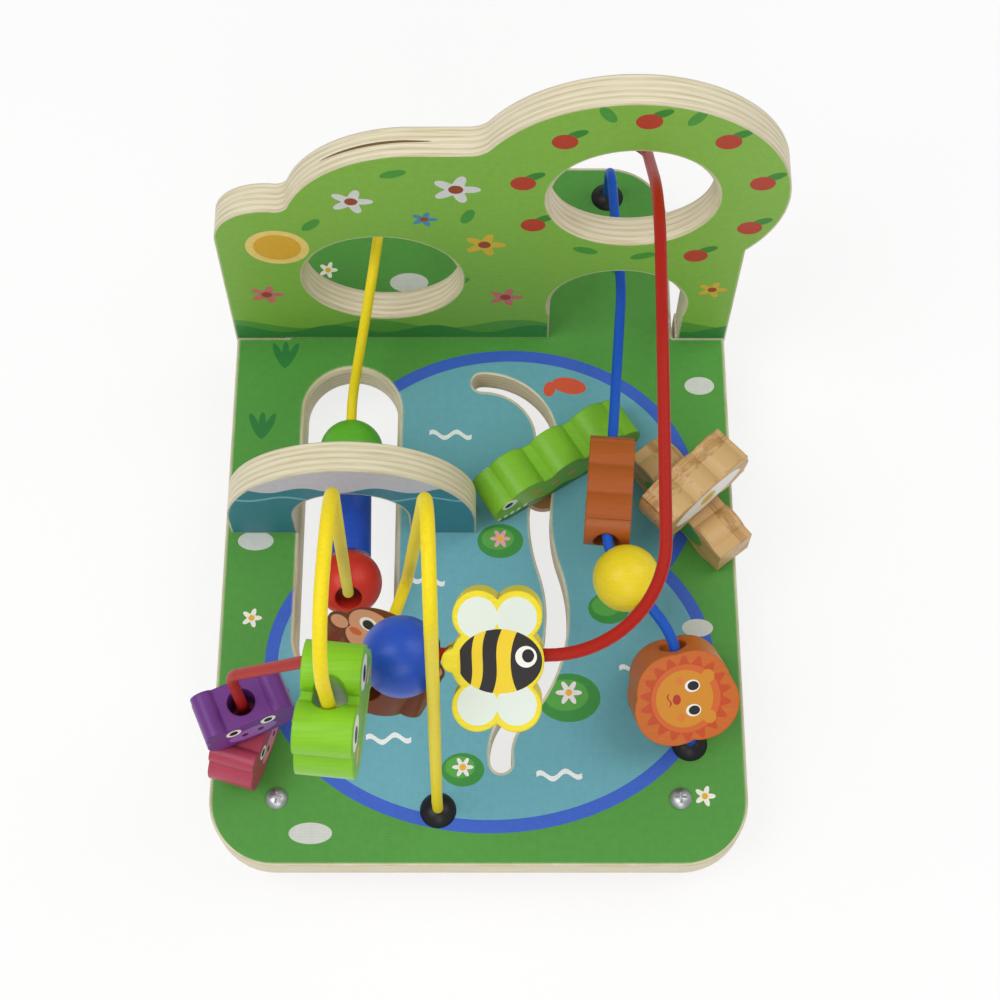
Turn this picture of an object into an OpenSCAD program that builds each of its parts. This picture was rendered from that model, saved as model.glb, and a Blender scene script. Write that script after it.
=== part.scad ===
// Wooden bead maze on a raised plywood board. All sizes are in millimetres.
// +Z is up, the floor is Z = 0, and the maze is played from the -Y side.
// The origin is the middle of the front foot's underside, on the floor.

/* [Board] */
// Width of the front part of the board
board_w = 200; // [170:1:230]
// Length of the board, front edge to rear edge
board_l = 300; // [270:1:330]
// Thickness of the board, the panel and the bridge
ply_t = 12; // [9:0.5:15]
// Corner radius at both ends of the board
board_corner = 25; // [10:1:35]
// Width of the board behind the panel
tongue_w = 157; // [140:1:170]
// Free height below the board
floor_gap = 18; // [14:1:30]
// Width of the broken edge round the holes and slots
rim = 1.4; // [0.5:0.1:2]

/* [Panel] */
// Front face of the panel, from the board's front edge
panel_y = 218; // [190:1:240]
// Width of the panel over its legs
panel_w = 201; // [172:1:232]
// Width of each panel leg
leg_w = 20.5; // [16:0.5:24]
// Hole radius in the panel
window_r = 30; // [20:0.5:32]
// Middle of the left hole, [X, Z above the board]
window_left = [-37.7, 48.2];
// Middle of the right hole, [X, Z above the board]
window_right = [55.7, 105.3];
// Width of the arch at the bottom right
arch_w = 53; // [40:1:56]
// Middle of the arch
arch_x = 54.3; // [50:0.1:58]
// Height of the arch above the board
arch_h = 53.5; // [40:0.5:60]

/* [Bridge] */
// Front face of the bridge, from the board's front edge
bridge_y = 131.3; // [115:0.1:145]
// Middle of the bridge
bridge_x = -49.5; // [-60:0.5:-40]
// Outer radius of the bridge
bridge_r = 48; // [40:0.5:50]
// Height of the straight sides of the bridge
bridge_side = 12; // [5:1:25]
// Radius of the opening under the bridge
bridge_arch_r = 22.3; // [19:0.1:25]
// Height of the opening's straight sides
bridge_arch_side = 16.5; // [12:0.5:25]

/* [Slots] */
// Width of the straight slot
slot_w = 37; // [30:0.5:40]
// Middle line of the straight slot
slot_x = -51.9; // [-60:0.1:-45]
// Ends of the straight slot's middle line
slot_y = [88.5, 184.5];
// Width of the winding slot
track_w = 8; // [6:0.5:10]
// Middle of the winding slot's first bend, to the right of the bridge's end
track_off = 2.1; // [0:0.1:6]
// Middle of the winding slot's first bend, from the board's front edge
track_y = 171.3; // [165:0.1:180]
// Bends of the winding slot in turn, [radius or 0 when straight, degrees to the left or length]
track = [[26, -96], [0, 24], [70, 24], [60, -60], [0, 2], [20, 52]];

/* [Wires] */
// Wire thickness
wire_d = 4; // [3:0.5:5]
// Corners of the red wire, from the middle of the board's front edge
red_path = [
    [17, board_l - 28, -10], [17, board_l - 28, 86], [61.4, panel_y + 26, 100.3],
    [60.6, panel_y - 28, 152], [58.6, 130, 164], [58, 31, 150], [-38, 32.5, 148],
    [-84, 49, 74], [-84, 49, -10]
];
// Bend radius at each corner of the red wire
red_bends = [20, 25, 90, 60, 36, 20, 24];
// Corners of the yellow wire
yellow_path = [
    [-35, board_l - 25, -10], [-35, board_l - 25, 58], [-41, panel_y, 54], [-51.2, 183, 12], [-49.5, 99, 12],
    [-37.8, 56, 223], [-40, 6.5, 223], [-40, 6.5, 140], [-24.8, 78, 80], [-12, 54, 223],
    [-10.5, 19, 223], [-15, 20.6, 14], [-15, 20.6, -10]
];
// Bend radius at each corner of the yellow wire
yellow_bends = [16, 20, 18, 25, 24, 24, 14, 8, 17, 17, 100];
// Corners of the blue wire
blue_path = [
    [53.5, board_l - 14.5, -10], [53.5, board_l - 14.5, 25], [56.4, panel_y + 7, 28],
    [47.2, 110, 37.5], [70.5, 77, 36], [79, 46, 10], [79, 46, -10]
];
// Bend radius at each corner of the blue wire
blue_bends = [9, 100, 20, 18, 8];

/* [Beads] */
// Ball diameter
ball_d = 25; // [20:0.5:30]
// Barrel diameter
barrel_d = 16; // [14:0.5:20]
// Barrel length
barrel_l = 26; // [18:1:30]
// Hole through each bead
bore_d = 10; // [8:0.5:12]
// Thickness of the animal beads
slab_t = 17; // [14:0.5:20]

/* [Slider] */
// Length of the slider
slider_l = 68; // [60:1:70]
// Length of the slider to the left of its peg
slider_tail = 28; // [24:0.5:34]
// Height of the slider
slider_h = 20; // [17:0.5:20]
// Direction of the slider on the board, in degrees
slider_turn = 32; // [0:1:60]
// Distance of the slider down the straight part of the winding slot
slider_at = 12.5; // [4:0.5:20]

/* [Spinner] */
// Middle of the spinner on the board
spinner_at = [81.7, 140.7];
// Length of the lower block
lower_l = 54; // [40:1:56]
// Length of the upper block
upper_l = 41; // [30:1:42]
// Height of each block
block_h = 18; // [14:0.5:20]
// Thickness of each block
block_t = 16; // [14:0.5:20]
// Direction of the lower block, in degrees
lower_turn = -52; // [-90:1:90]
// Direction of the upper block, in degrees
upper_turn = 43; // [-90:1:90]
// Axle diameter
axle_d = 6; // [5:0.5:8]

/* [Hardware] */
// Diameter of the black wire sockets
socket_d = 13.5; // [11:0.5:16]
// Height of the black wire sockets
socket_h = 4; // [3:0.5:6]
// Screw shank diameter
screw_d = 4; // [3:0.5:5]
// Screw head diameter
head_d = 8.2; // [7:0.1:9]
// Distance of the front screws from the board's middle line
screw_x = 75; // [60:1:85]
// Distance of the front screws from the board's front edge
screw_y = 25; // [20:1:40]
// Diameter of the discs below the board
disc_d = 18; // [14:0.5:22]
// Thickness of the discs below the board
disc_t = 4; // [3:0.5:5]

/* [Fits] */
// Clearance round the pieces that stay put
fix_gap = 0.05; // [0.02:0.01:0.1]
// Clearance of the pieces that move
run_gap = 0.3; // [0.2:0.05:0.5]

/* [Hidden] */
top_z = floor_gap + ply_t;
peg_d = track_w - 2 * run_gap;
hole_d = wire_d + 2 * fix_gap;
hang = (bore_d - wire_d) / 2 - run_gap;
foot_h = floor_gap;
foot_t = ply_t;
under_z = -ply_t - run_gap - disc_t;
beyond = 1;
weld = 0.04;
collar = 0.8;

// Directions and places along the wires
function unit(v) = v / norm(v);
function run_dir(path, i) = unit(path[i + 1] - path[i]);
function run_point(path, i, s) = path[i] + s * run_dir(path, i);
function turn_at(path, i) = acos(run_dir(path, i - 1) * run_dir(path, i));
function cut_at(path, bends, i) =
    i == 0 || i == len(path) - 1 ? 0 : bends[i - 1] * tan(turn_at(path, i) / 2);
function inward(path, i) = unit(run_dir(path, i) - run_dir(path, i - 1));
function down_from(d) = unit([d.x * d.z, d.y * d.z, d.z * d.z - 1]);
function side_of(d) = abs(d.z) > 0.99 ? [1, 0, 0] : unit(cross([0, 0, 1], d));
function square_to(d, v) = unit(v - d * (d * v));

track_middle = [bridge_x + bridge_r + track_off, track_y];

// Places along the winding slot, each [x, y, heading from -Y towards +X]
function step(p, seg) =
    seg[0] == 0
    ? [p.x + seg[1] * sin(p.z), p.y - seg[1] * cos(p.z), p.z]
    : let (k = sign(seg[1]) * seg[0], h = p.z + seg[1])
      [p.x + k * (cos(p.z) - cos(h)), p.y - k * (sin(h) - sin(p.z)), h];
function track_from(i) =
    i == 0 ? [track_middle.x, track_middle.y + track[0][0], 90] : step(track_from(i - 1), track[i - 1]);
function track_steps(i) = track[i][0] == 0 ? 1 : ceil(abs(track[i][1]) / 3);
slider_place = step(track_from(1), [0, slider_at]);

// Everything stands on the board's top face, measured from the middle of its front edge
module on_board() {
    translate([0, -screw_y, top_z]) children();
}

// Puts local X, Y and Z along the three given directions
module aligned(at, x, y, z) {
    multmatrix([
        [x.x, y.x, z.x, at.x],
        [x.y, y.y, z.y, at.y],
        [x.z, y.z, z.z, at.z],
        [0, 0, 0, 1]
    ]) children();
}

// Local Z runs along the wire and local -Y is the printed face, looking towards the given direction
module threaded(at, d, face) {
    y = -square_to(d, face);
    aligned(at, cross(y, d), y, d) children();
}

// A round bar along direction d
module rod(at, d, thick, l) {
    x = side_of(d);
    aligned(at, x, cross(d, x), d) cylinder(d = thick, h = l, $fn = 32);
}

// The straight part of run i of a wire, with a hair-thick collar where it meets a bend
module bar(path, bends, i) {
    d = run_dir(path, i);
    from = cut_at(path, bends, i);
    to = norm(path[i + 1] - path[i]) - cut_at(path, bends, i + 1);
    first = i == 0 ? 0 : collar / 2;
    last = i == len(path) - 2 ? 0 : collar / 2;
    rod(run_point(path, i, from + first), d, wire_d, to - from - first - last);
    if (i > 0)
        rod(run_point(path, i, from), d, wire_d + 2 * weld, collar);
    if (i < len(path) - 2)
        rod(run_point(path, i, to - collar), d, wire_d + 2 * weld, collar);
}

// The bend at corner i of a wire, whose ends lie inside the collars
module elbow(path, bends, i) {
    u = run_dir(path, i - 1);
    n = square_to(u, run_dir(path, i));
    r = bends[i - 1];
    lap = collar / 4 / r * 180 / PI;
    aligned(path[i] - u * cut_at(path, bends, i) + n * r, -n, u, cross(-n, u)) rotate([0, 0, -lap])
        rotate_extrude(angle = turn_at(path, i) + 2 * lap, $fn = 64)
            translate([r, 0]) circle(d = wire_d, $fn = 32);
}

module wire(path, bends) {
    for (i = [0 : len(path) - 2])
        bar(path, bends, i);
    for (i = [1 : len(path) - 2])
        elbow(path, bends, i);
}

// A flat rectangle from y0 to y1 whose two corners at y1 are rounded
module rounded_end(w, y0, y1) {
    r = board_corner;
    towards = sign(y1 - y0);
    translate([-w / 2, min(y0, y1 - towards * r)]) square([w, abs(y1 - y0) - r]);
    translate([r - w / 2, min(y0, y1)]) square([w - 2 * r, abs(y1 - y0)]);
    for (side = [-1, 1])
        translate([side * (w / 2 - r), y1 - towards * r]) circle(r = r);
}

module board_outline() {
    rounded_end(board_w, panel_y, 0);
    rounded_end(tongue_w, panel_y - beyond, board_l);
}

// Section of a slot through the board, with its upper edges broken
module slot_section(w) {
    polygon([
        [-w / 2, -ply_t - beyond], [w / 2, -ply_t - beyond], [w / 2, -rim], [w / 2 + rim, 0],
        [w / 2 + rim, beyond], [-w / 2 - rim, beyond], [-w / 2 - rim, 0], [-w / 2, -rim]
    ]);
}

module slot_end(w) {
    translate([0, 0, -ply_t - beyond]) cylinder(d = w, h = ply_t + 2 * beyond);
    translate([0, 0, -rim]) cylinder(d1 = w, d2 = w + 2 * rim, h = rim);
    cylinder(d = w + 2 * rim, h = beyond);
}

module straight_slot() {
    for (y = slot_y)
        translate([slot_x, y, 0]) slot_end(slot_w);
    translate([slot_x, slot_y[1], 0]) rotate([90, 0, 0])
        linear_extrude(slot_y[1] - slot_y[0]) slot_section(slot_w);
}

// Outline of the winding slot: one side, round the far end, back along the other side, round the start
function track_side(p, side) = [p.x, p.y] + side * track_w / 2 * [cos(p.z), sin(p.z)];
function track_end(p, from) =
    [for (a = [15 : 15 : 165]) [p.x, p.y] + track_w / 2 * [cos(p.z + from - a), sin(p.z + from - a)]];

module winding_slot() {
    middle = [
        for (i = [0 : len(track) - 1], j = [0 : track_steps(i) - 1])
            step(track_from(i), [track[i][0], track[i][1] * j / track_steps(i)]),
        track_from(len(track))
    ];
    last = len(middle) - 1;
    translate([0, 0, -ply_t - beyond]) linear_extrude(ply_t + 2 * beyond) polygon(concat(
        [for (p = middle) track_side(p, 1)],
        track_end(middle[last], 0),
        [for (i = [last : -1 : 0]) track_side(middle[i], -1)],
        track_end(middle[0], 180)
    ));
}

module base_board() {
    feet = [red_path[0], red_path[len(red_path) - 1], yellow_path[0], yellow_path[len(yellow_path) - 1],
        blue_path[0], blue_path[len(blue_path) - 1]];
    color("#5a9c3c") on_board() difference() {
        translate([0, 0, -ply_t]) linear_extrude(ply_t) board_outline();
        straight_slot();
        winding_slot();
        for (foot = feet)
            translate([foot.x, foot.y, foot.z]) cylinder(d = hole_d, h = ply_t);
        for (side = [-1, 1])
            translate([side * screw_x, screw_y, -ply_t - beyond])
                cylinder(d = screw_d + 2 * fix_gap, h = ply_t + 2 * beyond);
        for (p = [panel_screw_at(-1), panel_screw_at(1), bridge_screw_at(-1), bridge_screw_at(1)])
            translate([p.x, p.y, -ply_t]) sunk_hole();
        translate([spinner_at.x, spinner_at.y, -ply_t - beyond])
            cylinder(d = axle_d + 2 * run_gap, h = ply_t + 2 * beyond);
    }
}

// Screws that come up through the board into the panel and the bridge
function panel_screw_at(side) = side < 0 ? [-62, panel_y + ply_t / 2] : [8, panel_y + ply_t / 2];
function bridge_screw_at(side) = [bridge_x + side * (bridge_r + bridge_arch_r) / 2, bridge_y + ply_t / 2];

module sunk_hole() {
    translate([0, 0, -beyond]) cylinder(d = screw_d + 2 * fix_gap, h = ply_t + 2 * beyond);
    cylinder(d1 = head_d + 2 * fix_gap, d2 = screw_d + 2 * fix_gap, h = (head_d - screw_d) / 2);
    translate([0, 0, -beyond]) cylinder(d = head_d + 2 * fix_gap, h = beyond);
}

module sunk_screw(reach) {
    difference() {
        union() {
            cylinder(d1 = head_d, d2 = screw_d, h = (head_d - screw_d) / 2);
            cylinder(d = screw_d, h = ply_t + reach);
        }
        cross_recess();
    }
}

module cross_recess() {
    for (turn = [0, 90])
        rotate([0, 0, turn]) translate([-2.2, -0.45, -0.1]) cube([4.4, 0.9, 1.5]);
}

// Humps of the tree top, [X, Z above the board, radius], and the level between the last two
left_hump = [-78.5, 77, 20.5];
middle_hump = [-22.8, 83.6, 50];
crown = [53.5, 105.5, 58.7];
saddle = middle_hump.y + middle_hump.z;
// Radii of the hollows between the humps, and where the crown starts above the right leg
left_hollow_r = 5;
crown_hollow_r = 9;
crown_start = -37;

function flat(p) = [p.x, p.y];
function bearing(from, to) = (atan2(to.y - from.y, to.x - from.x) + 360) % 360;
// Points of an arc in steps of 3 degrees at most, without its first point
function arc(c, r, from, to) =
    let (n = ceil(abs(to - from) / 3))
    [for (i = [1 : n]) flat(c) + r * [cos(from + (to - from) * i / n), sin(from + (to - from) * i / n)]];
// Middle of the hollow that touches both humps from above
function hollow_middle(hump1, hump2, r) =
    let (
        d = norm(flat(hump2) - flat(hump1)),
        reach1 = hump1.z + r,
        reach2 = hump2.z + r,
        a = (reach1 * reach1 - reach2 * reach2 + d * d) / (2 * d),
        u = (flat(hump2) - flat(hump1)) / d
    )
    flat(hump1) + u * a + [-u.y, u.x] * sqrt(reach1 * reach1 - a * a);

// Tree top from right to left: crown, level saddle, middle hump and left hump, with hollows between
module panel_outline() {
    half = panel_w / 2;
    rise = saddle + crown_hollow_r - crown.y;
    reach = crown.z + crown_hollow_r;
    hollow1 = [crown.x - sqrt(reach * reach - rise * rise), saddle + crown_hollow_r];
    hollow2 = hollow_middle(left_hump, middle_hump, left_hollow_r);
    polygon(concat(
        [[-half, -top_z], [half, -top_z], [half, 0]],
        arc(crown, crown.z, crown_start - 3, crown_start),
        arc(crown, crown.z, crown_start, bearing(crown, hollow1)),
        arc(hollow1, crown_hollow_r, bearing(hollow1, crown), 270),
        arc(middle_hump, middle_hump.z, 90, bearing(middle_hump, hollow2)),
        arc(hollow2, left_hollow_r, bearing(hollow2, middle_hump), bearing(hollow2, left_hump)),
        arc(left_hump, left_hump.z, bearing(left_hump, hollow2), 180),
        [[-half, 0]]
    ));
}

// A round hole through the panel with both edges broken
module window(at, r) {
    translate([at.x, 0, at.y]) rotate([-90, 0, 0]) {
        translate([0, 0, -beyond]) cylinder(r = r, h = ply_t + 2 * beyond);
        cylinder(r1 = r + rim, r2 = r, h = rim);
        translate([0, 0, ply_t - rim]) cylinder(r1 = r, r2 = r + rim, h = rim);
    }
}

module tree_panel() {
    inner = panel_w / 2 - leg_w;
    color("#8fb84a") on_board() translate([0, panel_y, 0]) difference() {
        translate([0, ply_t, 0]) rotate([90, 0, 0]) linear_extrude(ply_t) panel_outline();
        window(window_left, window_r);
        window(window_right, window_r);
        translate([0, -beyond, 0]) {
            translate([-inner, 0, -top_z - beyond]) cube([2 * inner, ply_t + 2 * beyond, top_z + beyond]);
            translate([arch_x - arch_w / 2, 0, -beyond])
                cube([arch_w, ply_t + 2 * beyond, arch_h - arch_w / 2 + beyond]);
        }
        window([arch_x, arch_h - arch_w / 2], arch_w / 2);
        for (side = [-1, 1])
            translate([panel_screw_at(side).x, ply_t / 2, -beyond])
                cylinder(d = screw_d + 2 * fix_gap, h = 15 + beyond);
    }
}

module front_foot() {
    half = screw_x + 13;
    color("#e3c58f") on_board() translate([0, screw_y, -ply_t]) difference() {
        translate([-half, -foot_t / 2, -foot_h]) cube([2 * half, foot_t, foot_h]);
        for (side = [-1, 1])
            translate([side * screw_x, 0, -15]) cylinder(d = screw_d + 2 * fix_gap, h = 15 + beyond);
    }
}

// Round-headed cross screw that holds the front foot
module front_screw(side) {
    dome_r = 5;
    color("#c3c5c7") on_board() translate([side * screw_x, screw_y, 0]) difference() {
        union() {
            translate([0, 0, -ply_t - 14]) cylinder(d = screw_d, h = ply_t + 15);
            intersection() {
                translate([0, 0, 2.7 - dome_r]) sphere(r = dome_r);
                cylinder(d = head_d, h = 3);
            }
        }
        translate([0, 0, 1.4]) cross_recess();
    }
}

module front_screw_left() {
    front_screw(-1);
}

module front_screw_right() {
    front_screw(1);
}

module panel_screw(side) {
    at = panel_screw_at(side);
    color("#b9bbbd") on_board() translate([at.x, at.y, -ply_t]) sunk_screw(14);
}

module panel_screw_left() {
    panel_screw(-1);
}

module panel_screw_right() {
    panel_screw(1);
}

module bridge_screw(side) {
    at = bridge_screw_at(side);
    color("#b9bbbd") on_board() translate([at.x, at.y, -ply_t]) sunk_screw(12);
}

module bridge_screw_left() {
    bridge_screw(-1);
}

module bridge_screw_right() {
    bridge_screw(1);
}

module bridge() {
    color("#3f8a99") on_board() translate([bridge_x, bridge_y, 0]) difference() {
        translate([0, ply_t, 0]) rotate([90, 0, 0]) linear_extrude(ply_t) difference() {
            union() {
                translate([-bridge_r, 0]) square([2 * bridge_r, bridge_side]);
                intersection() {
                    translate([0, bridge_side]) circle(r = bridge_r);
                    translate([-bridge_r, 0]) square([2 * bridge_r, 2 * bridge_r]);
                }
            }
            translate([-bridge_arch_r, -beyond]) square([2 * bridge_arch_r, bridge_arch_side + beyond]);
            translate([0, bridge_arch_side]) circle(r = bridge_arch_r);
        }
        for (side = [-1, 1])
            translate([side * (bridge_r + bridge_arch_r) / 2, ply_t / 2, -beyond])
                cylinder(d = screw_d + 2 * fix_gap, h = 13 + beyond);
    }
}

module red_wire() {
    color("#c0281f") on_board() wire(red_path, red_bends);
}

module yellow_wire() {
    color("#f0dc2a") on_board() wire(yellow_path, yellow_bends);
}

module blue_wire() {
    color("#1c4fb4") on_board() wire(blue_path, blue_bends);
}

// Black domed socket round the foot of a wire
module socket(foot) {
    cap_r = (socket_d * socket_d / 4 + socket_h * socket_h) / (2 * socket_h);
    color("#1b1b1c") on_board() translate([foot.x, foot.y, 0]) difference() {
        intersection() {
            translate([0, 0, socket_h - cap_r]) sphere(r = cap_r);
            cylinder(d = socket_d, h = socket_h + beyond);
        }
        translate([0, 0, -beyond]) cylinder(d = hole_d, h = socket_h + 3 * beyond);
    }
}

module socket_red_front() {
    socket(red_path[len(red_path) - 1]);
}

module socket_red_rear() {
    socket(red_path[0]);
}

module socket_yellow_front() {
    socket(yellow_path[len(yellow_path) - 1]);
}

module socket_yellow_rear() {
    socket(yellow_path[0]);
}

module socket_blue_front() {
    socket(blue_path[len(blue_path) - 1]);
}

module socket_blue_rear() {
    socket(blue_path[0]);
}

module ball() {
    difference() {
        sphere(d = ball_d);
        cylinder(d = bore_d, h = 2 * ball_d, center = true);
    }
}

// A bead cut from a thick board and drilled along local Z from edge to edge
module slab(t) {
    difference() {
        rotate([90, 0, 0]) linear_extrude(t, center = true) children();
        cylinder(d = bore_d, h = 200, center = true);
    }
}

// A bead that hangs on a straight run, s millimetres past corner i of its wire
module hung(path, i, s, face) {
    d = run_dir(path, i);
    on_board() threaded(run_point(path, i, s) + hang * down_from(d), d, face) children();
}

module green_ball() {
    color("#4fae2b") hung(yellow_path, 3, 20.5, [0, 0, 1]) ball();
}

module blue_barrel() {
    color("#1f55b5") hung(yellow_path, 3, 52, [0, 0, 1]) difference() {
        cylinder(d = barrel_d, h = barrel_l, center = true);
        cylinder(d = bore_d, h = 2 * barrel_l, center = true);
    }
}

// The red ball sits in the bend where the low run turns upwards
red_corner = 4;
red_r = yellow_bends[red_corner - 1];
red_in = inward(yellow_path, red_corner);
red_middle = yellow_path[red_corner] + red_in * red_r / cos(turn_at(yellow_path, red_corner) / 2);

module red_ball() {
    d = unit(run_dir(yellow_path, red_corner - 1) + run_dir(yellow_path, red_corner));
    color("#c62a1c") on_board()
        threaded(red_middle - red_in * (red_r - 0.4), d, [1, 0, 0]) ball();
}

module frog_shape() {
    for (side = [-1, 1]) {
        translate([side * 7, -2]) circle(r = 12);
        translate([side * 9, 10]) circle(r = 7.5);
    }
    translate([-7, -14]) square([14, 24]);
}

module frog_bead() {
    color("#86c02c") on_board()
        threaded([yellow_path[7].x, yellow_path[7].y + hang, 168], [0, 0, 1], [1, -0.1, 0])
            slab(slab_t) frog_shape();
}

module monkey_shape() {
    circle(r = 16.5);
    for (side = [-1, 1])
        translate([side * 15, 2]) circle(r = 6);
}

module monkey_bead() {
    color("#6b3a1c") hung(yellow_path, 7, 52, [0.02, -0.5, 0.86])
        rotate([0, 180, 0]) slab(slab_t) monkey_shape();
}

module blue_ball() {
    color("#1d4cb0") hung(red_path, 5, 80, [0, 0, 1]) ball();
}

// Bee body along the wire with two rounded wings on either side
module bee_shape() {
    for (end = [-1, 1]) {
        translate([0, end * 3.5]) circle(r = 10.5);
        for (side = [-1, 1])
            translate([side * 13.5, end * 5.8]) circle(r = 7.6);
    }
    translate([-10.5, -3.5]) square([21, 7]);
    translate([0, -13]) circle(r = 3.6);
}

module bee_bead() {
    color("#f1df3a") hung(red_path, 5, 51, [0, -0.44, 0.9]) rotate([0, 180, 0]) slab(slab_t) bee_shape();
}

// Squat animal heads with two round ears
module hippo_shape() {
    for (side = [-1, 1]) {
        translate([side * 9.5, -2]) circle(r = 7.5);
        translate([side * 12, 5]) circle(r = 4.5);
    }
    translate([-9.5, -9.5]) square([19, 17]);
}

module piglet_shape() {
    for (side = [-1, 1]) {
        translate([side * 11, -1]) circle(r = 9);
        translate([side * 12, 8]) circle(r = 4);
    }
    translate([-11, -10]) square([22, 20]);
}

pink_z = socket_h + run_gap + 10;
purple_z = pink_z + 12 + run_gap + 9.5;

module pink_bead() {
    color("#d8596c") on_board()
        threaded([red_path[8].x, red_path[8].y, pink_z], [0, 0, 1], [0.955, -0.29, 0])
            translate([-hang, 0, 0]) slab(slab_t) piglet_shape();
}

module purple_bead() {
    color("#7a3f97") on_board()
        threaded([red_path[8].x, red_path[8].y, purple_z], [0, 0, 1], [0.4, -0.91, 0])
            slab(slab_t) hippo_shape();
}

module bear_shape() {
    translate([-10, -17]) square([20, 34]);
    for (y = [-11, 0, 11])
        translate([0, y]) circle(r = 11.5 - abs(y) / 22);
}

module brown_bead() {
    color("#a9551f") hung(blue_path, 2, 90, [1, 0, 0]) slab(slab_t) bear_shape();
}

module yellow_ball() {
    color("#f3d72b") hung(blue_path, 3, 13, [0, 0, 1]) ball();
}

module lion_shape() {
    for (side = [-1, 1]) {
        translate([side * 5, -3]) circle(r = 14.5);
        translate([side * 3.5, 4]) circle(r = 14);
    }
}

module lion_bead() {
    color("#e0742a") hung(blue_path, 4, 23.5, [0.1, -0.6, 0.75])
        rotate([0, 180, 0]) slab(slab_t) lion_shape();
}

// Long animal that glides along the winding slot
module slider_shape() {
    translate([-slider_l / 2 + 8, 0]) square([slider_l - 16, slider_h - 4]);
    for (x = [-1 : 1])
        translate([x * (slider_l - 12) / 3, slider_h - 9]) circle(r = 9);
    for (side = [-1, 1])
        translate([side * (slider_l / 2 - 8), 8]) circle(r = 8);
}

module slider_block() {
    at = slider_place;
    color("#7dbb2c") on_board() translate([at.x, at.y, run_gap]) rotate([0, 0, slider_turn]) difference() {
        translate([slider_l / 2 - slider_tail, 0, 0]) rotate([90, 0, 0])
            linear_extrude(slab_t, center = true) slider_shape();
        translate([0, 0, -beyond]) cylinder(d = peg_d + 2 * run_gap, h = 13 + run_gap + beyond);
    }
}

// A flat disc that keeps a peg from lifting out of the board
module disc(at, d) {
    on_board() translate([at.x, at.y, under_z]) difference() {
        cylinder(d = disc_d, h = disc_t);
        translate([0, 0, -beyond]) cylinder(d = d + 2 * fix_gap, h = disc_t + 2 * beyond);
    }
}

module slider_peg() {
    color("#e0c08a") on_board() translate([slider_place.x, slider_place.y, under_z])
        cylinder(d = peg_d, h = ply_t + disc_t + 13 + run_gap);
}

module slider_disc() {
    color("#e0c08a") disc(slider_place, peg_d);
}

// Block with a waved long side
module block_shape(l) {
    translate([-l / 2, -block_h / 2 + 2]) square([l, block_h - 4]);
    for (x = [-1 : 1])
        translate([x * l / 3.2, 0]) circle(r = block_h / 2);
}

module spinner_lower() {
    color("#d2a468") on_board() translate([spinner_at.x, spinner_at.y, run_gap + block_h / 2])
        rotate([0, 0, lower_turn]) difference() {
            rotate([90, 0, 0]) linear_extrude(block_t, center = true) block_shape(lower_l);
            cylinder(d = axle_d + 2 * run_gap, h = 2 * block_h, center = true);
        }
}

module spinner_upper() {
    color("#d9ad72") on_board() translate([spinner_at.x, spinner_at.y, 2 * run_gap + 1.5 * block_h])
        rotate([0, 0, upper_turn]) difference() {
            rotate([90, 0, 0]) linear_extrude(block_t, center = true) block_shape(upper_l);
            translate([0, 0, -block_h]) cylinder(d = axle_d + 2 * fix_gap, h = block_h + 3);
        }
}

module spinner_axle() {
    color("#e0c08a") on_board() translate([spinner_at.x, spinner_at.y, under_z])
        cylinder(d = axle_d, h = ply_t + disc_t + 3 * run_gap + 1.5 * block_h + 2.5);
}

module spinner_disc() {
    color("#e0c08a") disc(spinner_at, axle_d);
}

base_board();
tree_panel();
front_foot();
front_screw_left();
front_screw_right();
panel_screw_left();
panel_screw_right();
bridge();
bridge_screw_left();
bridge_screw_right();
red_wire();
yellow_wire();
blue_wire();
socket_red_front();
socket_red_rear();
socket_yellow_front();
socket_yellow_rear();
socket_blue_front();
socket_blue_rear();
green_ball();
blue_barrel();
red_ball();
frog_bead();
monkey_bead();
blue_ball();
bee_bead();
purple_bead();
pink_bead();
brown_bead();
yellow_ball();
lion_bead();
slider_block();
slider_peg();
slider_disc();
spinner_lower();
spinner_upper();
spinner_axle();
spinner_disc();
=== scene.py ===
import bpy
from math import pi, radians
from mathutils import Matrix, Vector

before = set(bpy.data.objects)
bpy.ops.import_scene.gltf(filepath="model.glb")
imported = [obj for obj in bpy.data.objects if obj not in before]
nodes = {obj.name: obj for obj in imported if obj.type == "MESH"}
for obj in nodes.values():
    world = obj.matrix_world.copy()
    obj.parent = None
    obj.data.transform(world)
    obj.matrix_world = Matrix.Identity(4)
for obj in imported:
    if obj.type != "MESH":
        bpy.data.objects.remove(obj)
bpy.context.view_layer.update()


# Base board: 12 mm birch plywood, sawn to shape, with a printed paper glued on its top face.
# The slots are routed and their edges broken, so a line of bare birch shows round each of them.
# The print is a pond in a meadow, with lily pads, fish and stones.
mm = 0.001
upward, backward, forward = (0, 0, 1), (0, 1, 0), (0, -1, 0)
ply_thick, ply_count, paper_thick = 12, 5, 0.15
any_depth = 1e6


def linear(hex_code):
    values = [int(hex_code[i:i + 2], 16) / 255 for i in (1, 3, 5)]
    return tuple(v / 12.92 if v <= 0.04045 else ((v + 0.055) / 1.055) ** 2.4 for v in values) + (1.0,)


def add(tree, kind, links=None, **settings):
    new = tree.nodes.new("ShaderNode" + kind)
    for name, value in settings.items():
        setattr(new, name, value)
    for socket, value in (links or {}).items():
        if isinstance(value, bpy.types.NodeSocket):
            tree.links.new(value, new.inputs[socket])
        else:
            new.inputs[socket].default_value = value
    return new


def maths(tree, operation, *values):
    return add(tree, "Math", dict(enumerate(values)), operation=operation).outputs[0]


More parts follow.
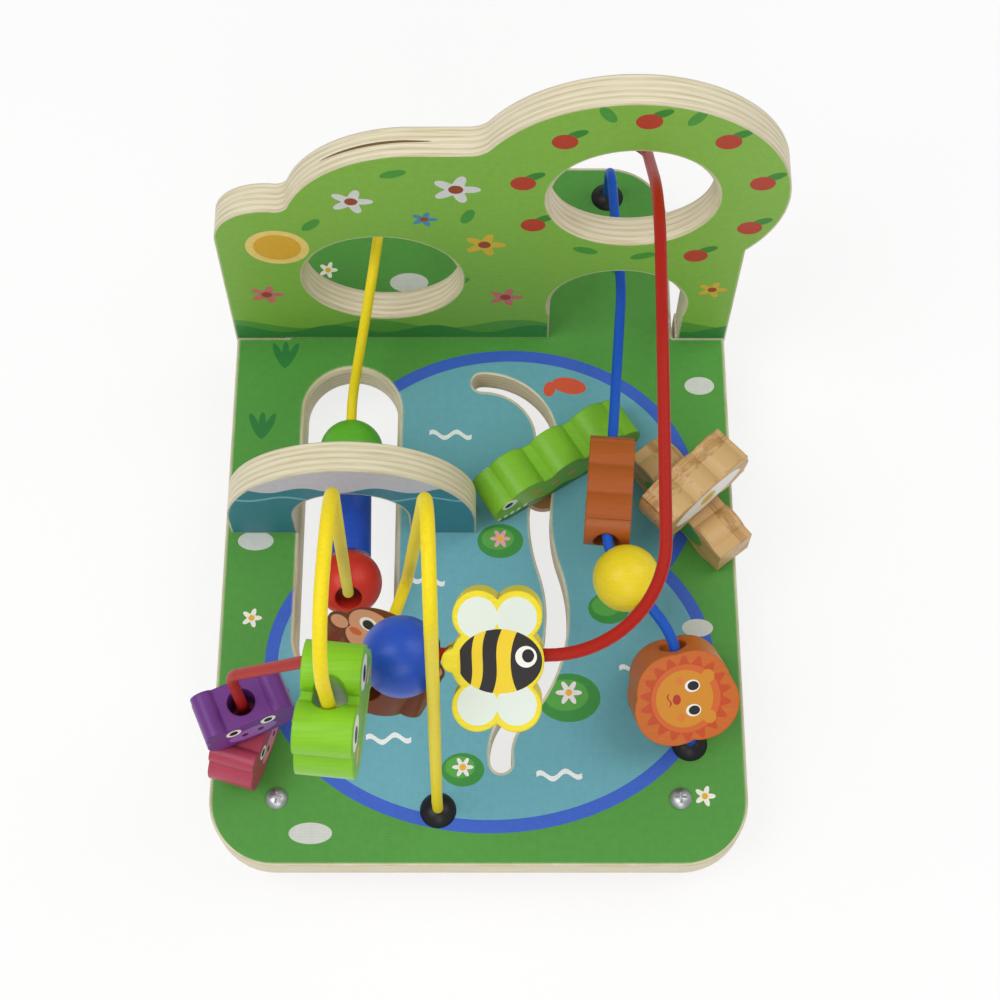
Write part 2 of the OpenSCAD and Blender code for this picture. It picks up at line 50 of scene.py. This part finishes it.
def start_material(name, roughness, coat=0.0):
    material = bpy.data.materials.new(name)
    material.use_nodes = True
    shader = material.node_tree.nodes["Principled BSDF"]
    shader.inputs["Roughness"].default_value = roughness
    shader.inputs["Coat Weight"].default_value = coat
    shader.inputs["Coat Roughness"].default_value = 0.2
    shader.inputs["Specular IOR Level"].default_value = 0.3
    return material, material.node_tree, shader


def print_place(tree, middle, facing, up):
    # Millimetres across the print, up the print and out of it, from a middle given in millimetres
    out = Vector(facing).normalized()
    rise = (Vector(up) - out * out.dot(Vector(up))).normalized()
    turn = Matrix((rise.cross(out), rise, out)).transposed().to_euler()
    return add(tree, "Mapping", {
        "Vector": add(tree, "TexCoord").outputs["Object"],
        "Location": Vector(middle) * mm, "Rotation": turn, "Scale": (mm, mm, mm),
    }, vector_type="TEXTURE").outputs[0]


def out_of(tree, place):
    return add(tree, "SeparateXYZ", {0: place}).outputs[2]


def within(tree, mask, inside):
    return mask if inside is None else maths(tree, "MULTIPLY", mask, inside)


def oval(tree, place, middle, radii, turn=0, inside=None):
    near = add(tree, "Mapping", {
        "Vector": place, "Location": (*middle, 0), "Rotation": (0, 0, radians(turn)),
        "Scale": (*radii, any_depth),
    }, vector_type="TEXTURE")
    length = add(tree, "VectorMath", {0: near.outputs[0]}, operation="LENGTH").outputs["Value"]
    return within(tree, maths(tree, "LESS_THAN", length, 1.0), inside)


def ripple(tree, place, middle, length, thick, height, pitch, turn=0, inside=None):
    near = add(tree, "Mapping", {
        "Vector": place, "Location": (*middle, 0), "Rotation": (0, 0, radians(turn)),
    }, vector_type="TEXTURE")
    x, y, _ = add(tree, "SeparateXYZ", {0: near.outputs[0]}).outputs
    wave = maths(tree, "SINE", maths(tree, "MULTIPLY", x, 2 * pi / pitch))
    across = maths(tree, "COMPARE", y, maths(tree, "MULTIPLY", wave, height), thick / 2)
    along = maths(tree, "COMPARE", x, 0.0, length / 2)
    return within(tree, maths(tree, "MULTIPLY", across, along), inside)


def blossom(tree, place, middle, radius, petals, depth=0.28, inside=None):
    near = add(tree, "Mapping", {"Vector": place, "Location": (*middle, 0)}, vector_type="TEXTURE")
    flat = add(tree, "VectorMath", {0: near.outputs[0], 1: (1, 1, 0)}, operation="MULTIPLY").outputs[0]
    x, y, _ = add(tree, "SeparateXYZ", {0: flat}).outputs
    wave = maths(tree, "COSINE", maths(tree, "MULTIPLY", maths(tree, "ARCTAN2", y, x), petals))
    edge = maths(tree, "MULTIPLY_ADD", wave, radius * depth, radius * (1 - depth))
    length = add(tree, "VectorMath", {0: flat}, operation="LENGTH").outputs["Value"]
    return within(tree, maths(tree, "LESS_THAN", length, edge), inside)


def plain(tree, ink):
    colour = add(tree, "RGB")
    colour.outputs[0].default_value = linear(ink)
    return colour.outputs[0]


def printed(tree, ground, layers):
    for mask, ink in layers:
        ground = add(tree, "Mix", {0: mask, 6: ground, 7: linear(ink)}, data_type="RGBA").outputs[2]
    return ground


def noise_tone(tree, noise, dark, light):
    # A noise lies nearly always between 0.3 and 0.7
    return add(tree, "MapRange", {0: noise, 1: 0.3, 2: 0.7, 3: dark, 4: light}).outputs[0]


def shade(tree, ground, tone):
    return add(tree, "Mix", {0: 1.0, 6: ground, 7: tone}, data_type="RGBA", blend_type="MULTIPLY").outputs[2]


def colour_ramp(tree, value, stops):
    # Stops are positions and inks, from the first to the last
    ramp = add(tree, "ValToRGB", {0: value})
    elements = ramp.color_ramp.elements
    elements[0].position, elements[-1].position = stops[0][0], stops[-1][0]
    for position, _ in stops[1:-1]:
        elements.new(position)
    for element, (_, ink) in zip(elements, stops):
        element.color = linear(ink)
    return ramp.outputs[0]


def streaks(tree, place, scale, detail=5.0, roughness=0.6):
    stretched = add(tree, "Mapping", {"Vector": place, "Scale": scale})
    return add(tree, "TexNoise", {
        "Vector": stretched.outputs[0], "Scale": 1.0, "Detail": detail, "Roughness": roughness,
    }).outputs[0]


def emboss(tree, shader, height, strength, distance, normal=None):
    bump = add(tree, "Bump", {"Height": height, "Strength": strength, "Distance": distance})
    if normal is not None:
        tree.links.new(normal, bump.inputs["Normal"])
    tree.links.new(bump.outputs[0], shader.inputs["Normal"])


def paper_weave(tree, place, ground):
    # Fine linen grain of the printed paper, drawn with wide threads so that it shows
    thread = 1.1
    x, y, _ = add(tree, "SeparateXYZ", {0: place}).outputs
    waves = [maths(tree, "SINE", maths(tree, "MULTIPLY", way, 2 * pi / thread)) for way in (x, y)]
    weave = maths(tree, "ADD", *waves)
    grain = add(tree, "MapRange", {0: weave, 1: -2.0, 2: 2.0, 3: 0.95, 4: 1.04}).outputs[0]
    cloud = add(tree, "TexNoise", {"Vector": place, "Scale": 0.35, "Detail": 4.0}).outputs[0]
    return shade(tree, ground, maths(tree, "MULTIPLY", grain, noise_tone(tree, cloud, 0.96, 1.04)))


def finish_plywood(tree, shader, place, picture, printed_sides, rim_width):
    # Edges show the plies: pale and honey layers, with fine streaks along them and a thin glue line
    layer = maths(tree, "MULTIPLY", out_of(tree, place), 2 * pi * ply_count / ply_thick)
    fibres = streaks(tree, place, (0.05, 0.05, 2.4), roughness=0.65)
    tone = maths(tree, "MULTIPLY_ADD", maths(tree, "SINE", layer), 0.1, fibres)
    birch = colour_ramp(tree, tone, ((0.28, "#c5b68e"), (0.46, "#dbd0b0"), (0.66, "#e8e0c8")))
    # A worn edge: near an edge the rounded normal leaves the true one
    still_flat = 0.992
    soft = add(tree, "Bevel", {"Radius": rim_width}, samples=8).outputs[0]
    true = add(tree, "NewGeometry").outputs["True Normal"]
    agree = add(tree, "VectorMath", {0: soft, 1: true}, operation="DOT_PRODUCT").outputs["Value"]
    keep = maths(tree, "MULTIPLY", maths(tree, "GREATER_THAN", agree, still_flat), printed_sides)
    colour = add(tree, "Mix", {0: keep, 6: birch, 7: picture}, data_type="RGBA").outputs[2]
    tree.links.new(colour, shader.inputs["Base Color"])
    emboss(tree, shader, fibres, 0.12, 0.0004, soft)


def dress(name, material):
    for slot in nodes[name].material_slots:
        slot.material = material


board_ply, tree, shader = start_material("printed_birch_plywood_board", 0.5)
place = print_place(tree, (0, -25, 30), upward, backward)
board_layers = []
for middle, radii in (((4, 78), (86, 66)), ((12, 150), (74, 62))):
    board_layers.append((oval(tree, place, middle, radii), "#3c63c6"))
for middle, radii in (((4, 78), (81, 61)), ((12, 150), (69, 57))):
    board_layers.append((oval(tree, place, middle, radii), "#69a9b6"))
for middle, turn in (((30, 34), 4), ((-22, 112), -6), ((-34, 48), 3), ((-12, 174), 0), ((62, 76), 8),
                     ((-60, 62), 0)):
    board_layers.append((ripple(tree, place, middle, 17, 2.0, 1.3, 9.5, turn), "#e9efec"))
for middle, radius in (((34, 64), 12), ((8, 128), 9), ((50, 100), 8), ((-6, 36), 8)):
    board_layers.append((oval(tree, place, middle, (radius, radius * 0.8)), "#3d8f41"))
    lit = (middle[0] - 1, middle[1] + 1)
    board_layers.append((oval(tree, place, lit, (radius * 0.7, radius * 0.52)), "#57a648"))
for middle, radius, ink in (((34, 66), 5, "#f0e7ea"), ((8, 129), 4, "#e9a2b4"), ((-6, 37), 4, "#f0e7ea")):
    board_layers.append((blossom(tree, place, middle, radius, 6), ink))
    board_layers.append((oval(tree, place, middle, (1.3, 1.3)), "#e8b93a"))
for middle, turn in (((-52, 58), 18), ((36, 196), -12)):
    tail = (middle[0] - 8, middle[1] - 1.5)
    board_layers.append((oval(tree, place, middle, (7, 3.6), turn), "#d9573a"))
    board_layers.append((oval(tree, place, tail, (2.4, 3.4), turn), "#d9573a"))
for middle, radii in (((-88, 128), (7, 4)), ((89, 196), (6, 4)), ((-62, 12), (8, 4)), ((84, 92), (6, 3.6)),
                      ((-30, 244), (8, 4.5))):
    board_layers.append((oval(tree, place, middle, radii), "#cfd3cb"))
for middle in ((-88, 176), (90, 60), (-90, 62), (56, 252), (-80, 208)):
    for lean in (-24, 0, 24):
        blade = (middle[0] + lean / 9, middle[1] + 2)
        board_layers.append((oval(tree, place, blade, (1.5, 6), -lean), "#2f7d3c"))
for middle in ((-86, 150), (88, 160), (-88, 96), (76, 226), (-64, 250), (22, 262), (84, 26)):
    board_layers.append((blossom(tree, place, middle, 4, 5), "#f2efe2"))
    board_layers.append((oval(tree, place, middle, (1.2, 1.2)), "#e5b437"))
picture = paper_weave(tree, place, printed(tree, plain(tree, "#52983f"), board_layers))
top_only = maths(tree, "GREATER_THAN", out_of(tree, place), -paper_thick)
finish_plywood(tree, shader, place, picture, top_only, rim_width=0.002)
dress("base_board", board_ply)


# Tree panel: the same plywood, stood up behind the play area on two legs that pass the board.
# It is printed on both sides: a light green tree top with apples, blossom and a sun over low hills.
# Its sawn edge is bare, with an open seam in one ply on the left hump.
def on_faces(tree, place, half, skin, middle=0.0):
    # On the two faces of a slab, and off its edges
    between = maths(tree, "COMPARE", out_of(tree, place), middle, half - skin)
    return maths(tree, "SUBTRACT", 1.0, between)


panel_ply, tree, shader = start_material("printed_birch_plywood_panel", 0.5)
place = print_place(tree, (0, 193, 30), forward, upward)
panel_layers = [
    (ripple(tree, place, (0, -8), 400, 40, 3.5, 58), "#5f9f43"),
    (ripple(tree, place, (12, -12), 400, 40, 3, 41), "#3f8a45"),
    (oval(tree, place, (-76, 72), (12, 12)), "#f0d37c"),
    (oval(tree, place, (-76, 72), (9, 9)), "#e3ae35"),
]
for middle, radius, ink in (((-46, 104), 8, "#dcdcda"), ((-8, 112), 9, "#dcdcda"), ((-84, 36), 7, "#cf7373"),
                            ((2, 74), 8, "#d8b53a"), ((10, 34), 7, "#cf7373"), ((-20, 92), 5, "#4e8fae"),
                            ((91, 40), 6, "#d8b53a")):
    panel_layers.append((blossom(tree, place, middle, radius, 5), ink))
    panel_layers.append((oval(tree, place, middle, (radius * 0.3, radius * 0.3)), "#9c4a2c"))
for middle in ((16, 116), (30, 142), (58, 154), (86, 142), (101, 116), (100, 86), (82, 66), (20, 88)):
    leaf = (middle[0] + 4, middle[1] + 4.5)
    panel_layers.append((oval(tree, place, leaf, (4.2, 2), 30), "#3c8a34"))
    panel_layers.append((oval(tree, place, middle, (4.6, 4.4)), "#b8412c"))
for middle, turn in (((-30, 122), 20), ((-62, 88), 50), ((40, 70), -20), ((62, 66), 20), ((-4, 94), 70),
                     ((-8, 46), 40), ((44, 158), -60), ((74, 156), 60)):
    panel_layers.append((oval(tree, place, middle, (5, 2.2), turn), "#4d9a3c"))
picture = paper_weave(tree, place, printed(tree, plain(tree, "#86b948"), panel_layers))
both_faces = on_faces(tree, place, ply_thick / 2, paper_thick, -ply_thick / 2)
finish_plywood(tree, shader, place, picture, both_faces, rim_width=0.0013)
edge_colour = shader.inputs["Base Color"].links[0].from_socket
seam = print_place(tree, (-36, 199, 162), upward, backward)
seam_depth = 12.0
on_top = maths(tree, "GREATER_THAN", out_of(tree, seam), -seam_depth)
slit = oval(tree, seam, (0, 0), (20, 0.55), 0, on_top)
tree.links.new(printed(tree, edge_colour, [(slit, "#6d5636")]), shader.inputs["Base Color"])
dress("tree_panel", panel_ply)


# Bridge: a low plywood arch screwed across the straight slot from below.
# Both faces are printed as water, with a pale sky band and one light wave line.
bridge_ply, tree, shader = start_material("printed_birch_plywood_bridge", 0.5)
place = print_place(tree, (-49.5, 106.3, 30), forward, upward)
picture = paper_weave(tree, place, printed(tree, plain(tree, "#3d8592"), [
    (ripple(tree, place, (4, 87), 200, 90, 2.2, 27), "#d3d0d6"),
    (ripple(tree, place, (-4, 34), 200, 1.6, 1.8, 27), "#7db9c6"),
]))
both_faces = on_faces(tree, place, ply_thick / 2, paper_thick, -ply_thick / 2)
finish_plywood(tree, shader, place, picture, both_faces, rim_width=0.0013)
dress("bridge", bridge_ply)


# Bare wood: the spinner's two crossed blocks, and the foot, axle, peg and discs below the board.
# Sanded beech with a thin clear varnish: honey ground, darker growth lines along each block.
def bare_wood(name, middle, along, up):
    material, tree, shader = start_material(name, 0.42, 0.15)
    place = print_place(tree, middle, Vector(along).cross(Vector(up)), up)
    growth = streaks(tree, place, (0.02, 0.9, 0.9))
    rings = streaks(tree, place, (0.012, 0.16, 0.16), detail=2.0, roughness=0.5)
    tone = maths(tree, "ADD", growth, rings)
    colour = colour_ramp(tree, tone, ((0.75, "#a97d48"), (1.0, "#cba670")))
    soft = add(tree, "Bevel", {"Radius": 0.0009}, samples=6).outputs[0]
    emboss(tree, shader, growth, 0.1, 0.0003, soft)
    tree.links.new(colour, shader.inputs["Base Color"])
    return material, tree, shader, place, colour


spinner_half = 8.0
upper_along, lower_along = (0.731, 0.682, 0), (0.616, -0.788, 0)
for name, along, height, ink, spot in (("spinner_upper", upper_along, 57.6, "#e8e7e2", "#d9b43c"),
                                       ("spinner_lower", lower_along, 39.3, "#4c9a35", "#7db84a")):
    wood, tree, shader, place, ground = bare_wood(
        "varnished_beech_" + name, (81.7, 115.7, height), along, upward)
    side = on_faces(tree, place, spinner_half, 0.1)
    colour = printed(tree, ground, [(oval(tree, place, (0, 0), (17, 7), 0, side), ink),
                                    (oval(tree, place, (0, 0), (4, 3.4), 0, side), spot)])
    tree.links.new(colour, shader.inputs["Base Color"])
    dress(name, wood)
hidden_wood = bare_wood("varnished_beech_fittings", (0, 0, 9), (1, 0, 0), upward)[0]
for name in ("front_foot", "spinner_axle", "spinner_disc", "slider_peg", "slider_disc"):
    dress(name, hidden_wood)


# Wires: 4 mm steel rod bent cold and dipped in a thick glossy vinyl coat.
# The coat is even, with a faint orange peel that breaks the highlight.
def grit(tree, scale, detail):
    point = add(tree, "TexCoord").outputs["Object"]
    return add(tree, "TexNoise", {"Vector": point, "Scale": scale, "Detail": detail}).outputs[0]


for name, ink in (("red_wire", "#a92116"), ("yellow_wire", "#efd823"), ("blue_wire", "#1f57bd")):
    coat, tree, shader = start_material("vinyl_dipped_steel_" + name, 0.42)
    shader.inputs["Specular IOR Level"].default_value = 0.15
    peel = grit(tree, 900.0, 2.0)
    colour = shade(tree, plain(tree, ink), noise_tone(tree, peel, 0.96, 1.03))
    tree.links.new(colour, shader.inputs["Base Color"])
    emboss(tree, shader, peel, 0.08, 0.0003)
    dress(name, coat)


# Sockets and screws: moulded black plastic domes round the feet of the wires, pressed into the board,
# and zinc-plated cross-head screws.
plastic, tree, shader = start_material("moulded_black_polyethylene", 0.38)
colour = colour_ramp(tree, grit(tree, 900.0, 2.0), ((0.0, "#161617"), (1.0, "#222224")))
tree.links.new(colour, shader.inputs["Base Color"])
zinc, tree, shader = start_material("zinc_plated_steel", 0.42)
shader.inputs["Metallic"].default_value = 1.0
colour = colour_ramp(tree, grit(tree, 700.0, 3.0), ((0.0, "#a9abad"), (1.0, "#dfe1e2")))
tree.links.new(colour, shader.inputs["Base Color"])
for name in nodes:
    if name.startswith("socket"):
        dress(name, plastic)
    if "screw" in name:
        dress(name, zinc)


# Balls and barrel: turned beech, drilled through and sprayed with a satin toy paint.
# The grain shows through the paint as fine streaks, and the rims of the holes are softly rounded.
def toy_paint(name, ink):
    material, tree, shader = start_material(name, 0.4, 0.12)
    point = add(tree, "TexCoord").outputs["Object"]
    grain = streaks(tree, point, (70, 1300, 1300))
    colour = shade(tree, plain(tree, ink), noise_tone(tree, grain, 0.92, 1.05))
    soft = add(tree, "Bevel", {"Radius": 0.0011}, samples=6).outputs[0]
    emboss(tree, shader, grain, 0.06, 0.0003, soft)
    tree.links.new(colour, shader.inputs["Base Color"])
    return material, tree, shader, colour


for name, ink in (("green_ball", "#5fb42c"), ("red_ball", "#c62d1b"), ("blue_ball", "#2350bf"),
                  ("yellow_ball", "#f0d522"), ("blue_barrel", "#2350bf")):
    dress(name, toy_paint("satin_painted_beech_" + name, ink)[0])


# Animal beads: 17 mm thick beech cut to an outline, drilled from edge to edge and painted.
# Each has a simple face printed on both flat sides.
bead_half, bead_hang = 8.5, 2.7


def eyes(tree, place, side, middles, white, pupil, shift=(0, 0)):
    layers = []
    for middle in middles:
        looking = (middle[0] + shift[0], middle[1] + shift[1])
        layers.append((oval(tree, place, middle, white, 0, side), "#f3f1ea"))
        layers.append((oval(tree, place, looking, pupil, 0, side), "#1d1a1c"))
    return layers


def pair(tree, place, side, middle, radii, ink):
    # The same spot on the left and on the right
    x, y = middle
    return [(oval(tree, place, (way * x, y), radii, 0, side), ink) for way in (-1, 1)]


def hung(start, end, distance):
    # Middle of a bead that hangs on a straight run of wire, in millimetres
    along = (Vector(end) - Vector(start)).normalized()
    down = Vector((along.x * along.z, along.y * along.z, along.z ** 2 - 1)).normalized()
    return Vector(start) + distance * along + bead_hang * down, along


def animal(name, ink, on_wire, facing, up, draw):
    material, tree, shader, ground = toy_paint("satin_painted_beech_" + name, ink)
    middle, along = on_wire
    flat = Vector(facing) - Vector(along) * Vector(along).dot(Vector(facing))
    place = print_place(tree, middle, flat, up)
    layers = draw(tree, place, on_faces(tree, place, bead_half, 0.12))
    tree.links.new(printed(tree, ground, layers), shader.inputs["Base Color"])
    dress(name, material)


def frog_face(tree, place, side):
    return [
        (oval(tree, place, (0, -1), (17, 11), 0, side), "#6fb225"),
        *eyes(tree, place, side, ((-9, 9), (9, 9)), (5.2, 6), (2.4, 3.6), (0, -1)),
        *pair(tree, place, side, (12, -3), (3, 2.4), "#e2a091"),
        (ripple(tree, place, (0, -5), 9, 0.9, 1.0, 18, 0, side), "#2c5220"),
    ]


def monkey_face(tree, place, side):
    return [
        *pair(tree, place, side, (6.8, 3.5), (8, 8.5), "#d99b7a"),
        (oval(tree, place, (0, -4.5), (14, 9), 0, side), "#d99b7a"),
        *pair(tree, place, side, (17, -2), (3, 3.4), "#d99b7a"),
        *eyes(tree, place, side, ((-8, 4), (8, 4)), (3.2, 3.6), (2, 2.5), (0, -0.4)),
        *pair(tree, place, side, (11, -3), (2.2, 1.8), "#d4622f"),
        (oval(tree, place, (0, -1), (1.8, 1.3), 0, side), "#5a3320"),
        (ripple(tree, place, (0, -7), 8, 0.8, 1.0, 16, 0, side), "#5a3320"),
    ]


def bee_print(tree, place, side):
    body = oval(tree, place, (0.8, 0), (12.6, 9.6), 0, side)
    return [
        *pair(tree, place, side, (5.8, -13), (6.0, 6.2), "#dfe8de"),
        *pair(tree, place, side, (5.8, 13), (6.0, 6.2), "#dfe8de"),
        (body, "#f0cf2a"),
        (ripple(tree, place, (-9.2, 0), 40, 3.6, 0.8, 22, 80, body), "#262322"),
        (ripple(tree, place, (-2.2, 0), 40, 4.2, 0.8, 22, 80, body), "#262322"),
        (oval(tree, place, (12.6, 0), (8.6, 14), 0, body), "#262322"),
        *eyes(tree, place, body, ((8.6, 1.4),), (3.2, 3.2), (1.8, 2), (0.6, 0.3)),
    ]


def lion_face(tree, place, side):
    return [
        (blossom(tree, place, (0, 0), 17, 18, 0.1, side), "#c64b1c"),
        (oval(tree, place, (0, 0), (13.4, 12.8), 0, side), "#d4662a"),
        (oval(tree, place, (0, -0.5), (11.2, 10.6), 0, side), "#d68d23"),
        *pair(tree, place, side, (8, 8.5), (2.6, 2.4), "#d68d23"),
        *eyes(tree, place, side, ((-4.8, 2.6), (4.8, 2.6)), (2.4, 2.8), (1.8, 2.1), (0, 0.3)),
        (oval(tree, place, (0, -3.4), (2, 1.5), 0, side), "#b5311f"),
        (ripple(tree, place, (0, -6.2), 5, 0.6, 0.6, 5, 0, side), "#b5311f"),
        *pair(tree, place, side, (7.2, -2), (1.7, 1.4), "#dd7a33"),
    ]


def snub_face(ink):
    def draw(tree, place, side):
        return [
            (oval(tree, place, (0, -3), (9, 5), 0, side), ink),
            *eyes(tree, place, side, ((-6.5, 3.4), (6.5, 3.4)), (2.8, 3.0), (1.6, 1.9)),
            *pair(tree, place, side, (3, -3), (1.2, 1.5), "#4a2230"),
        ]
    return draw


# Each bead's middle and its wire's direction, then where its face looks and which way is up on it
frog_at = ((-40, -15.8, 198), upward)
monkey_at = hung((-40, -18.5, 170), (-24.8, 53, 110), 52)
bee_at = hung((58, 6, 180), (-38, 7.5, 178), 51)
purple_at = ((-84, 24, 66.1), upward)
pink_at = ((-84.8, 21.4, 44.3), upward)
brown_at = hung((56.4, 200, 58), (47.2, 85, 67.5), 90)
lion_at = hung((70.5, 52, 66), (79, 21, 40), 23.5)
animal("frog_bead", "#83c421", frog_at, (1, -0.1, 0), upward, frog_face)
animal("monkey_bead", "#6d3418", monkey_at, (0.02, -0.5, 0.86), (0.16, 0.76, -0.63), monkey_face)
animal("bee_bead", "#efdc2c", bee_at, (0, -0.44, 0.9), (0, 0.9, 0.44), bee_print)
animal("purple_bead", "#6f3687", purple_at, (0.4, -0.91, 0), upward, snub_face("#9a67b4"))
animal("pink_bead", "#b04258", pink_at, (0.955, -0.29, 0), upward, snub_face("#e58a9c"))
animal("brown_bead", "#a9561f", brown_at, (1, 0, 0), forward, snub_face("#d99a5e"))
animal("lion_bead", "#cd6922", lion_at, (0.1, -0.6, 0.75), (1, 0.1, 0), lion_face)


# Slider: a long animal cut from the same beech, which glides along the winding slot on a peg.
# Its sides are printed darker, with an eye and a row of pale scales.
def slider_print(tree, place, side):
    layers = [(ripple(tree, place, (0, -20), 90, 46, 1.2, 15, 0, side), "#3f7f2b")]
    layers += eyes(tree, place, side, ((-21, 13),), (3.4, 3.0), (1.8, 1.8), (-0.5, 0))
    layers += [(oval(tree, place, (x, 4), (1, 1.2), 0, side), "#e8e6da") for x in (-26, -23, -20, -17, -14)]
    layers += [(oval(tree, place, (x, 10), (2, 1.4), 0, side), "#d98f45") for x in (-8, 0, 8, 16, 24, 32)]
    return layers


slider_at = ((25.15, 131.15, 30.3), upward)
animal("slider_block", "#7ab82c", slider_at, (0.53, -0.848, 0), upward, slider_print)


# Stage: a pale floor that stays white to the camera but keeps the shadow, and soft studio light.
# The camera stands where the photograph was taken from.
white = (1, 1, 1, 1)
floor_half, floor_z, floor_glow = 6, -0.0005, 0.76
floor_mesh = bpy.data.meshes.new("floor")
floor = bpy.data.objects.new("floor", floor_mesh)
corners = [(x * floor_half, y * floor_half, floor_z) for x, y in ((-1, -1), (1, -1), (1, 1), (-1, 1))]
floor_mesh.from_pydata(corners, [], [(0, 1, 2, 3)])
bpy.context.scene.collection.objects.link(floor)
paper, tree, shader = start_material("white_backdrop_paper", 0.9)
shader.inputs["Base Color"].default_value = linear("#fbfbfa")
shader.inputs["Specular IOR Level"].default_value = 0.1
glow = add(tree, "Emission", {"Color": white, "Strength": 1.0})
rays = add(tree, "LightPath").outputs
seen = maths(tree, "MAXIMUM", rays["Is Camera Ray"], rays["Is Glossy Ray"])
share = maths(tree, "MULTIPLY", seen, floor_glow)
blend = add(tree, "MixShader", {0: share, 1: shader.outputs[0], 2: glow.outputs[0]})
tree.links.new(blend.outputs[0], tree.nodes["Material Output"].inputs["Surface"])
floor_mesh.materials.append(paper)

world = bpy.data.worlds.new("studio")
bpy.context.scene.world = world
world.use_nodes = True
sky, room_light = world.node_tree.nodes["Background"], 0.42
sky.inputs["Color"].default_value = white
direct = add(world.node_tree, "LightPath").outputs["Is Camera Ray"]
level = maths(world.node_tree, "MULTIPLY_ADD", direct, 1 - room_light, room_light)
world.node_tree.links.new(level, sky.inputs["Strength"])
aim = Vector((0, 0.12, 0.06))
for name, spot, size, power in (("softbox_left", (-0.7, -0.2, 1.3), 0.9, 9),
                                ("softbox_right", (0.8, 0.3, 1.2), 0.9, 5),
                                ("softbox_front", (0.1, -1.0, 0.9), 0.7, 3.4)):
    light = bpy.data.lights.new(name, "AREA")
    light.size = size
    light.energy = power
    lamp = bpy.data.objects.new(name, light)
    lamp.location = spot
    lamp.rotation_euler = (aim - Vector(spot)).to_track_quat("-Z", "Y").to_euler()
    bpy.context.scene.collection.objects.link(lamp)

camera_data = bpy.data.cameras.new("camera")
camera_data.sensor_width = 36
camera_data.lens = 67.365
camera = bpy.data.objects.new("camera", camera_data)
camera_at = Matrix.Translation((0.00719, -0.16993, 0.71253))
yaw, tilt, roll = (Matrix.Rotation(radians(angle), 4, axis)
                   for angle, axis in ((-0.14, "Z"), (23.05, "X"), (0.15, "Z")))
camera.matrix_world = camera_at @ yaw @ tilt @ roll
bpy.context.scene.collection.objects.link(camera)
bpy.context.scene.camera = camera
bpy.context.scene.view_settings.view_transform = "Standard"
